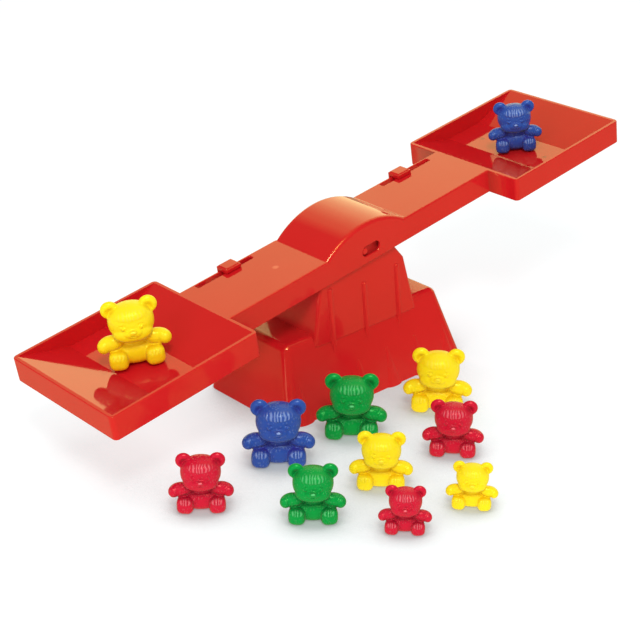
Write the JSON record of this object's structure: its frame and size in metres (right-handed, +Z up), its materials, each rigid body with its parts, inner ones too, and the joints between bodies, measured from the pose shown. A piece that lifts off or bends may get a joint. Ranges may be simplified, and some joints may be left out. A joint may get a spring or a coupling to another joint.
{
  "type": "balance scale toy",
  "caption": "Plastic rocker balance toy: a tilting beam with square pans on a fluted stand, and sitting teddy bear counters of graded sizes in the pans and on the table in front.",
  "frame": {"origin": "on the table, straight under the middle of the pivot", "axes": "+Z up, +X along the beam towards the raised pan, -Y towards the front, where the counters stand"},
  "size_m": [0.3672, 0.1988, 0.129],
  "materials": {
    "red_plastic": "glossy",
    "steel": "satin",
    "yellow_plastic": "satin",
    "blue_plastic": "glossy",
    "green_plastic": "glossy",
    "crimson_plastic": "glossy"
  },
  "bodies": {
    "base": {"base_shell": "red_plastic", "fulcrum_axle": "steel", "stop_pin": "red_plastic"},
    "beam": {"balance_beam": "red_plastic"},
    "rider_left": {"rider_left": "red_plastic"},
    "rider_right": {"rider_right": "red_plastic"},
    "bear_yellow_left_pan": {"bear_yellow_left_pan": "yellow_plastic"},
    "bear_blue_right_pan": {"bear_blue_right_pan": "blue_plastic"},
    "bear_blue_large": {"bear_blue_large": "blue_plastic"},
    "bear_green_large": {"bear_green_large": "green_plastic"},
    "bear_yellow_large": {"bear_yellow_large": "yellow_plastic"},
    "bear_red_medium_left": {"bear_red_medium_left": "crimson_plastic"},
    "bear_red_medium_right": {"bear_red_medium_right": "crimson_plastic"},
    "bear_green_medium": {"bear_green_medium": "green_plastic"},
    "bear_yellow_medium": {"bear_yellow_medium": "yellow_plastic"},
    "bear_red_small": {"bear_red_small": "crimson_plastic"},
    "bear_yellow_small": {"bear_yellow_small": "yellow_plastic"}
  },
  "joints": [
    {"name": "beam_rock", "type": "hinge", "parent": "base", "child": "beam", "pos_m": [0, 0, 0.0891], "axis": [0, 1, 0], "range_deg": [0, 19.1]},
    {"name": "rider_left_slide", "type": "slide", "parent": "beam", "child": "rider_left", "axis": [0.9861, 0, 0.1659], "range_m": [-0.0185, 0.0109]},
    {"name": "rider_right_slide", "type": "slide", "parent": "beam", "child": "rider_right", "axis": [0.9861, 0, 0.1659], "range_m": [-0.0109, 0.0185]},
    {"name": "lift_yellow_left_pan", "type": "slide", "parent": "beam", "child": "bear_yellow_left_pan", "axis": [-0.1659, 0, 0.9861], "range_m": [0, 0.06]},
    {"name": "lift_blue_right_pan", "type": "slide", "parent": "beam", "child": "bear_blue_right_pan", "axis": [-0.1659, 0, 0.9861], "range_m": [0, 0.06]},
    {"name": "lift_blue_large", "type": "slide", "parent": "base", "child": "bear_blue_large", "axis": [0, -0.2588, 0.9659], "range_m": [0, 0.06]},
    {"name": "lift_green_large", "type": "slide", "parent": "base", "child": "bear_green_large", "axis": [0, 0, 1], "range_m": [0, 0.06]},
    {"name": "lift_yellow_large", "type": "slide", "parent": "base", "child": "bear_yellow_large", "axis": [0, 0, 1], "range_m": [0, 0.06]},
    {"name": "lift_red_medium_left", "type": "slide", "parent": "base", "child": "bear_red_medium_left", "axis": [0, 0, 1], "range_m": [0, 0.06]},
    {"name": "lift_red_medium_right", "type": "slide", "parent": "base", "child": "bear_red_medium_right", "axis": [0, 0, 1], "range_m": [0, 0.06]},
    {"name": "lift_green_medium", "type": "slide", "parent": "base", "child": "bear_green_medium", "axis": [0, 0, 1], "range_m": [0, 0.06]},
    {"name": "lift_yellow_medium", "type": "slide", "parent": "base", "child": "bear_yellow_medium", "axis": [0, 0, 1], "range_m": [0, 0.06]},
    {"name": "lift_red_small", "type": "slide", "parent": "base", "child": "bear_red_small", "axis": [0, 0, 1], "range_m": [0, 0.06]},
    {"name": "lift_yellow_small", "type": "slide", "parent": "base", "child": "bear_yellow_small", "axis": [0, 0, 1], "range_m": [0, 0.06]}
  ]
}
